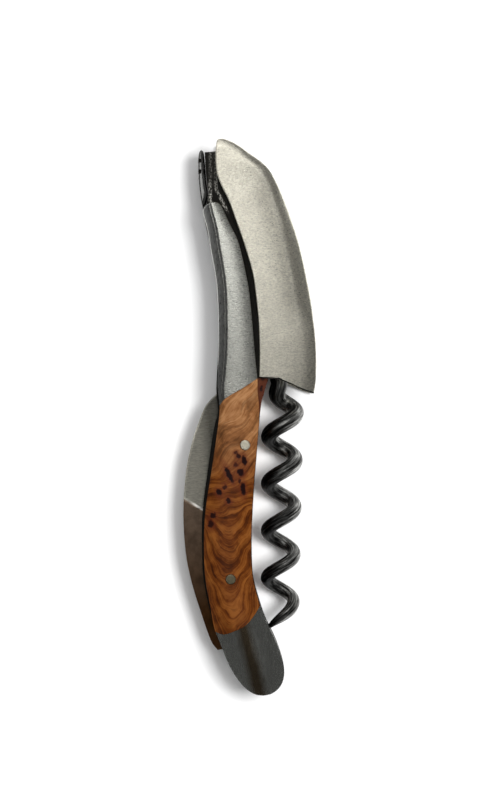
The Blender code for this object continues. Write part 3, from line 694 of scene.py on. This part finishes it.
def finish_faces(obj, side):
    """Paint shade onto a bolster: its recessed flange takes the near-black liner steel and its facet a darker
    copy of the brushed steel.
    """
    for face in obj.data.polygons:
        if side * (face.center.z / MM - MID) < EAR + 0.02:
            face.material_index = 1
        # The facet faces take the darker steel as painted shade.
        elif face.normal.x < -0.25 and side * face.normal.z > 0.5:
            face.material_index = 2


def make_sides():
    looks = {
        "front_bolster": (BOLSTER_STEEL, BOLSTER_STEEL, "bolster_steel"),
        "scale": (WOOD_NEAR, WOOD_FAR, "figured_wood"),
        "rear_bolster": (REAR_STEEL, REAR_STEEL, "rear_steel"),
    }
    for side, prefix in ((1, "near"), (-1, "far")):
        for kind, (near, far, slot) in looks.items():
            obj = side_solid(f"{prefix}_{kind}_fine", side)
            if kind != "rear_bolster":
                combine(obj, flange_solid(side), "UNION")
            combine(obj, joint_region(kind), "INTERSECT")
            if kind == "scale":
                for pin in ("upper_scale_pin", "lower_scale_pin"):
                    drill(obj, centre_of(pin), SCALE_PIN_HOLE)
            if kind == "front_bolster":
                drill(obj, WORM_PIVOT, PIVOT_HOLE)
            metals = [near if side > 0 else far, LINER_SHADE_STEEL, FACET_SHADE_STEEL]
            piece(obj, "handle", metals, [f"{prefix}_{kind}"])
            if kind == "front_bolster":
                finish_faces(obj, side)


# ---------------------------------------------------------------- lever

LEVER_WALL = 1.5
WEB = 1.6
WEB_LOW, WEB_HIGH = 21.5, 51.0
LEVER_LEFT_LINE = smooth(LEVER_LEFT)
LEVER_RIGHT_LINE = smooth(LEVER_RIGHT)
LEVER_FOOT_LINE = smooth(LEVER_FOOT)
# A simpler curve along the back edge, from which the folds of the cheek are measured.
LEVER_FOLD_LINE = smooth([(13.83, 5.13), (14.35, 14.4), (12.42, 29.57), (9.07, 42.55), (5.2, 51.6),
                          (-0.5, 57.1)])
BEND_AT, BEND_SLOPE = 6.8, 0.17                      # soft crease along the cheek
BACK_AT, BACK_SLOPE = 1.8, 0.45                      # steeper strip along the back edge
BEND_SOFTNESS, BACK_SOFTNESS = 2.5, 1.5
FOLD_AT_FOOT, FOLD_RISE = 0.55, 0.45                 # strength of both at the foot, and what it gains above
CREST_WIDTH, CREST_DROP = 2.2, 0.5                   # wider rounding of the edge over the top
FOOT_SHADE_WIDTH = 0.3                                      # width of the shade painted along the foot's edge
BLIND_RADIUS, BLIND_FLOOR = 1.05, 0.6                # the pin's blind hole and the metal left outside it


def soft_fold(distance, softness):
    """Zero before a fold and slope one after it, with a smooth turn as wide as twice the softness."""
    turning = (distance + softness) ** 2 / (4.0 * softness)
    return np.where(distance < -softness, 0.0, np.where(distance > softness, distance, turning))


def lever_drop(plan):
    """How far the cheek lies below its flat face: a crease, a sloping back strip and rounded edges."""
    y = plan[:, 1]
    right = distance_to(plan, LEVER_FOLD_LINE)
    length = ramp(-y, -55.0, -46.0)
    strength = FOLD_AT_FOOT + FOLD_RISE * ramp(y, 18.0, 26.0)
    bend = BEND_SLOPE * soft_fold(BEND_AT - right, BEND_SOFTNESS)
    back_at = BACK_AT * (1.0 - ramp(y, 34.0, 58.0))
    back = BACK_SLOPE * soft_fold(back_at - right, BACK_SOFTNESS)
    edge = distance_to(plan, LEVER_RIGHT_LINE)
    rims = rounding(edge, 0.3) + rounding(distance_to(plan, LEVER_LEFT_LINE), 0.2)
    rims = rims + rounding(distance_to(plan, LEVER_FOOT_LINE), 0.25)
    crest = CREST_DROP * np.clip(1.0 - edge / CREST_WIDTH, 0.0, None) ** 2 * ramp(y, 34.0, 48.0)
    return strength * length * bend + strength * back + crest + np.minimum(rims, 0.45)


def make_lever():
    def outer(plan):
        return MID + HALF - lever_drop(plan)

    def inner(plan):
        return MID - HALF + lever_drop(plan)

    lever = solid("lever_fine", LEVER_LEFT_LINE, LEVER_RIGHT_LINE, 240, 96, outer, inner, LEVER_FOOT_LINE)
    web = [(x - WEB, y) for x, y in LEVER_RIGHT_LINE if WEB_LOW <= y <= WEB_HIGH]
    outline = [(-20.0, 70.0), (-20.0, 0.0), (20.0, 0.0), (20.0, WEB_LOW), (web[0][0], WEB_LOW)]
    outline += web + [(web[-1][0], WEB_HIGH), (20.0, WEB_HIGH), (20.0, 70.0)]
    room = prism("room", outline, LEVER_WALL, THICKNESS - LEVER_WALL)
    combine(lever, room, "DIFFERENCE")
    blind = disc("blind", LEVER_PIVOT, BLIND_RADIUS, BLIND_FLOOR, THICKNESS - BLIND_FLOOR)
    combine(lever, blind, "DIFFERENCE")
    piece(lever, "lever", [LEVER_STEEL, FOOT_SHADE_STEEL], ["lever"])
    # Faces along the foot take the near-black steel that paints the shade there.
    middles = np.array([tuple(face.center / MM)[:2] for face in lever.data.polygons])
    near_foot = distance_to(middles, LEVER_FOOT_LINE) < FOOT_SHADE_WIDTH
    for face, rim in zip(lever.data.polygons, near_foot):
        face.material_index = int(rim)


# ---------------------------------------------------------------- blade

HALF_BLADE = 1.3
BEVEL_STEP, BEVEL_SLOPE = 0.12, 0.12
EDGE_HALF = 0.08                                     # half the thickness that the edge keeps
TANG_RADIUS = 2.6
BLADE_BACK_LINE = smooth(BLADE_BACK)
BLADE_EDGE_LINE = smooth(BLADE_EDGE)


def plunge(plan):
    """Distance in front of the slanting end of the ground bevel."""
    return plan @ np.array(PLUNGE) + PLUNGE_OFFSET


def blade_thickness(plan):
    back = distance_to(plan, BLADE_BACK_LINE)
    ground = HALF_BLADE - BEVEL_STEP - BEVEL_SLOPE * back - rounding(back, 0.25)
    flat = HALF_BLADE - rounding(back, 0.2)
    share = ramp(plunge(plan), 0.0, 0.35)
    return np.clip(flat + (ground - flat) * share, EDGE_HALF, None)


def make_blade():
    blade = solid("foil_blade_fine", BLADE_BACK_LINE, BLADE_EDGE_LINE, 170, 24,
                  lambda plan: MID + blade_thickness(plan), lambda plan: MID - blade_thickness(plan))
    tang = disc("tang", BLADE_PIVOT, TANG_RADIUS, MID - HALF_BLADE, MID + HALF_BLADE)
    combine(blade, tang, "UNION")
    drill(blade, BLADE_PIVOT, PIVOT_HOLE)
    piece(blade, "foil_blade", BLADE_STEEL, ["foil_blade"])


# ---------------------------------------------------------------- worm

WORM_PITCH = 10.25
WORM_RADIUS = 2.88
WORM_TOP_X, WORM_END_X = 7.25, 6.6
WORM_FIRST_RIGHT = 1.0
WORM_LAST_RIGHT = WORM_FIRST_RIGHT - 4 * WORM_PITCH
LAST_STRETCH = 1.34                                  # the turn is steeper below the lowest right-hand point
POINT_DRAWN_IN = 0.4                                 # share by which the point bends back to the mid-plane
WORM_LEAN = 0.9                                      # how far left of the helix axis the shank starts
WORM_SHANK_Y = 8.2
WORM_END_Y = -45.7
WIRE_TOP, WIRE_LOW, WIRE_TIP = 1.84, 1.3, 0.35
POINT_LENGTH = 4.5
HUB_RADIUS, HALF_HUB = 3.2, 1.75


def wire_radius(y):
    share = (y - WORM_END_Y) / (WORM_SHANK_Y - WORM_END_Y)
    radius = WIRE_LOW + (WIRE_TOP - WIRE_LOW) * min(1.0, share)
    if y < WORM_END_Y + POINT_LENGTH:
        point = (y - WORM_END_Y) / POINT_LENGTH
        radius = WIRE_TIP + (radius - WIRE_TIP) * math.sin(point * math.pi / 2.0)
    return radius


def worm_path():
    """Places down the wire: from the hub, off the axis into the helix, and along it to the point."""
    path = [Vector((WORM_PIVOT[0], WORM_PIVOT[1] - 2.6, 0.0)), Vector((5.6, 11.4, 0.0)),
            Vector((5.9, 10.2, 0.0))]
    steps = 260
    for step in range(steps + 1):
        y = WORM_SHANK_Y + (WORM_END_Y - WORM_SHANK_Y) * step / steps
        last = min(0.0, y - WORM_LAST_RIGHT)
        angle = 2.0 * math.pi * (y - WORM_FIRST_RIGHT - last * (1.0 - 1.0 / LAST_STRETCH)) / WORM_PITCH
        drawn_in = POINT_DRAWN_IN * max(0.0, 1.0 - (y - WORM_END_Y) / POINT_LENGTH)
        share = min(1.0, (WORM_SHANK_Y - y) / (WORM_SHANK_Y - WORM_FIRST_RIGHT))
        radius = WORM_RADIUS * share * share * (3.0 - 2.0 * share)
        passed = (WORM_SHANK_Y - y) / (WORM_SHANK_Y - WORM_END_Y)
        axis_x = WORM_TOP_X + (WORM_END_X - WORM_TOP_X) * passed - WORM_LEAN * (1.0 - share) ** 2
        z = -radius * math.sin(angle) * (1.0 - drawn_in)
        path.append(Vector((axis_x + radius * math.cos(angle), y, z)))
    return path


def sweep(name, path, radius_at, sides=28):
    """A round wire along a path, with texture U around it and V along it in millimetres."""
    cage = bmesh.new()
    layer = cage.loops.layers.uv.new("wire")
    normal = Vector((0.0, 0.0, 1.0))
    rings, lengths, travelled = [], [], 0.0
    for i, place in enumerate(path):
        tangent = (path[min(i + 1, len(path) - 1)] - path[max(i - 1, 0)]).normalized()
        normal = (normal - tangent * normal.dot(tangent)).normalized()
        other = tangent.cross(normal)
        radius = radius_at(place.y)
        ring = []
        for k in range(sides):
            angle = 2.0 * math.pi * k / sides
            point = place + (normal * math.cos(angle) + other * math.sin(angle)) * radius
            ring.append(cage.verts.new((point.x * MM, point.y * MM, (MID + point.z) * MM)))
        travelled += (place - path[i - 1]).length if i else 0.0
        rings.append(ring)
        lengths.append(travelled)
    for i in range(len(path) - 1):
        for k in range(sides):
            n = (k + 1) % sides
            face = cage.faces.new((rings[i][k], rings[i][n], rings[i + 1][n], rings[i + 1][k]))
            around = (k / sides, (k + 1) / sides, (k + 1) / sides, k / sides)
            down = (lengths[i], lengths[i], lengths[i + 1], lengths[i + 1])
            for loop, u, v in zip(face.loops, around, down):
                loop[layer].uv = (u, v)
    cage.faces.new(rings[0])
    cage.faces.new(rings[-1])
    return mesh_object(name, cage)


def make_worm():
    worm = sweep("worm_fine", worm_path(), wire_radius)
    hub = bevel(disc("hub", WORM_PIVOT, HUB_RADIUS, MID - HALF_HUB, MID + HALF_HUB), 0.3)
    combine(worm, hub, "UNION")
    drill(worm, WORM_PIVOT, PIVOT_HOLE)
    piece(worm, "worm", WORM_STEEL, ["worm"], 45.0)


# ---------------------------------------------------------------- spring head

HEAD_BACK = [(-10.17, 45.3), (-10.6, 47.5), (-10.93, 50.1), (-11.1, 53.0), (-11.12, 55.5), (-10.95, 57.2),
             (-10.5, 57.95)]
HEAD_FRONT = [(-10.17, 45.3), (-9.5, 46.4), (-9.05, 48.4), (-9.2, 49.7), (-9.52, 52.3), (-9.74, 55.5),
              (-9.95, 57.4), (-10.5, 57.95)]
HALF_HEAD = 2.6
NOTCHES = ((52.6, 53.8), (55.0, 56.1))
NOTCH_DEPTH = 0.8
NOTCH_OUTER_X, NOTCH_INNER_X, NOTCH_TAPER = -12.0, -10.45, 0.15


def make_spring_head():
    lines = smooth(HEAD_BACK), smooth(HEAD_FRONT)

    def half(plan):
        nearest = np.minimum(distance_to(plan, lines[0]), distance_to(plan, lines[1]))
        return HALF_HEAD - rounding(nearest, 0.35) - 0.12 * ramp(-distance_to(plan, lines[1]), -0.9, -0.2)

    head = solid("spring_head_fine", lines[0], lines[1], 90, 20,
                 lambda plan: MID + half(plan), lambda plan: MID - half(plan))
    floor = MID + HALF_HEAD - NOTCH_DEPTH
    for low, high in NOTCHES:
        outline = [(NOTCH_OUTER_X, low), (NOTCH_INNER_X, low + NOTCH_TAPER),
                   (NOTCH_INNER_X, high - NOTCH_TAPER), (NOTCH_OUTER_X, high)]
        combine(head, prism("notch", outline, floor, THICKNESS), "DIFFERENCE")
    piece(head, "handle", [HEAD_STEEL, LINER_SHADE_STEEL], ["spring_head"])
    # The notch floors take the near-black liner steel, which paints them dark as shade.
    for face in head.data.polygons:
        low = floor * MM - 1e-6 < face.center.z < (floor + NOTCH_DEPTH - 0.1) * MM
        if low and any(start < face.center.y / MM < end for start, end in NOTCHES):
            face.material_index = 1


# ---------------------------------------------------------------- pins and carried-over nodes

SCALE_PIN_RADIUS, SCALE_PIN_PROUD = 1.05, 0.04
# Radius and half-length of the pins that are ground flush or covered.
HIDDEN_PINS = {"upper_bolster_pin": (0.8, 5.4), "lower_bolster_pin": (0.8, 5.4),
               "blade_pivot_pin": (1.2, 5.0), "lever_pivot_pin": (1.0, 5.85)}


def make_pins():
    for name in ("upper_scale_pin", "lower_scale_pin"):
        x, y = centre_of(name)
        top = float(side_height(np.array([[x, y]]))[0])
        low, high = MID - top - SCALE_PIN_PROUD, MID + top + SCALE_PIN_PROUD
        pin = bevel(disc("pin", (x, y), SCALE_PIN_RADIUS, low, high), 0.14, 3)
        pin.name = name + "_fine"
        metal = NICKEL if name == "upper_scale_pin" else NICKEL_WORN
        piece(pin, "handle", metal, [name], 12.0)
    for name, (radius, half) in HIDDEN_PINS.items():
        pin = bevel(disc("pin", centre_of(name), radius, MID - half, MID + half), 0.12, 2)
        pin.name = name + "_fine"
        piece(pin, "handle", SPRING_STEEL, [name])


def dress_cad_nodes():
    """Materials for the inner parts that keep their CAD shape."""
    looks = {"near_liner": LINER_SHADE_STEEL, "far_liner": LINER_SHADE_STEEL, "back_spring": SPRING_STEEL,
             "front_spacer": SPRING_STEEL, "worm_pivot_pin": BOLSTER_STEEL, "near_lever_washer": NICKEL,
             "far_lever_washer": NICKEL}
    for name, material in looks.items():
        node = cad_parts[name]
        node.data.materials.clear()
        node.data.materials.append(material)


# ---------------------------------------------------------------- floor, lights and camera

FLOOR_HALF = 1.5
FLOOR_DROP = 0.00005                                 # keeps the floor clear of the knife's underside
WORLD_STRENGTH = 0.14


def make_floor():
    cage = bmesh.new()
    bmesh.ops.create_grid(cage, x_segments=1, y_segments=1, size=FLOOR_HALF)
    floor = mesh_object("floor", cage)
    floor.location.z = -FLOOR_DROP
    material, tree, shader = start_material("floor_white", 0.0)
    shader.inputs["Base Color"].default_value = (0.95, 0.95, 0.95, 1.0)
    shader.inputs["Roughness"].default_value = 0.9
    shader.inputs["Specular IOR Level"].default_value = 0.1
    floor.data.materials.append(material)


def make_light(name, place, size, radiance, target=(0.0, 0.0, 0.0), glossy=True):
    """A rectangular soft light of the given radiance that looks at the target."""
    data = bpy.data.lights.new(name, "AREA")
    data.shape = "RECTANGLE"
    data.size, data.size_y = size
    data.energy = radiance * math.pi * size[0] * size[1]
    lamp = link(bpy.data.objects.new(name, data))
    lamp.location = place
    lamp.rotation_euler = (Vector(target) - Vector(place)).to_track_quat("-Z", "Y").to_euler()
    lamp.visible_glossy = glossy


def make_lights():
    """A soft panel overhead, and a key high on the right that throws the shadow to the left."""
    make_light("panel", (-0.05, 0.26, 0.60), (0.30, 0.44), 2.2)
    make_light("fill", (0.0, 0.1, 1.3), (1.2, 1.2), 1.0, glossy=False)
    make_light("key", (0.40, 0.09, 0.95), (0.36, 0.36), 24.0, glossy=False)
    world = bpy.data.worlds.new("studio")
    bpy.context.scene.world = world
    world.use_nodes = True
    background = world.node_tree.nodes["Background"]
    background.inputs["Color"].default_value = (1.0, 1.0, 1.0, 1.0)
    background.inputs["Strength"].default_value = WORLD_STRENGTH
    bpy.context.scene.view_settings.view_transform = "Standard"


CAMERA_LENS = 100.0
CAMERA_HEIGHT = 0.49
CAMERA_X, CAMERA_Y = -0.00206, 0.00375


def make_camera():
    data = bpy.data.cameras.new("camera")
    data.lens = CAMERA_LENS
    data.clip_start = 0.01
    camera = link(bpy.data.objects.new("camera", data))
    camera.location = (CAMERA_X, CAMERA_Y, CAMERA_HEIGHT)
    bpy.context.scene.camera = camera


make_camera()
make_lights()
make_floor()
make_sides()
make_lever()
make_blade()
make_worm()
make_spring_head()
make_pins()
dress_cad_nodes()
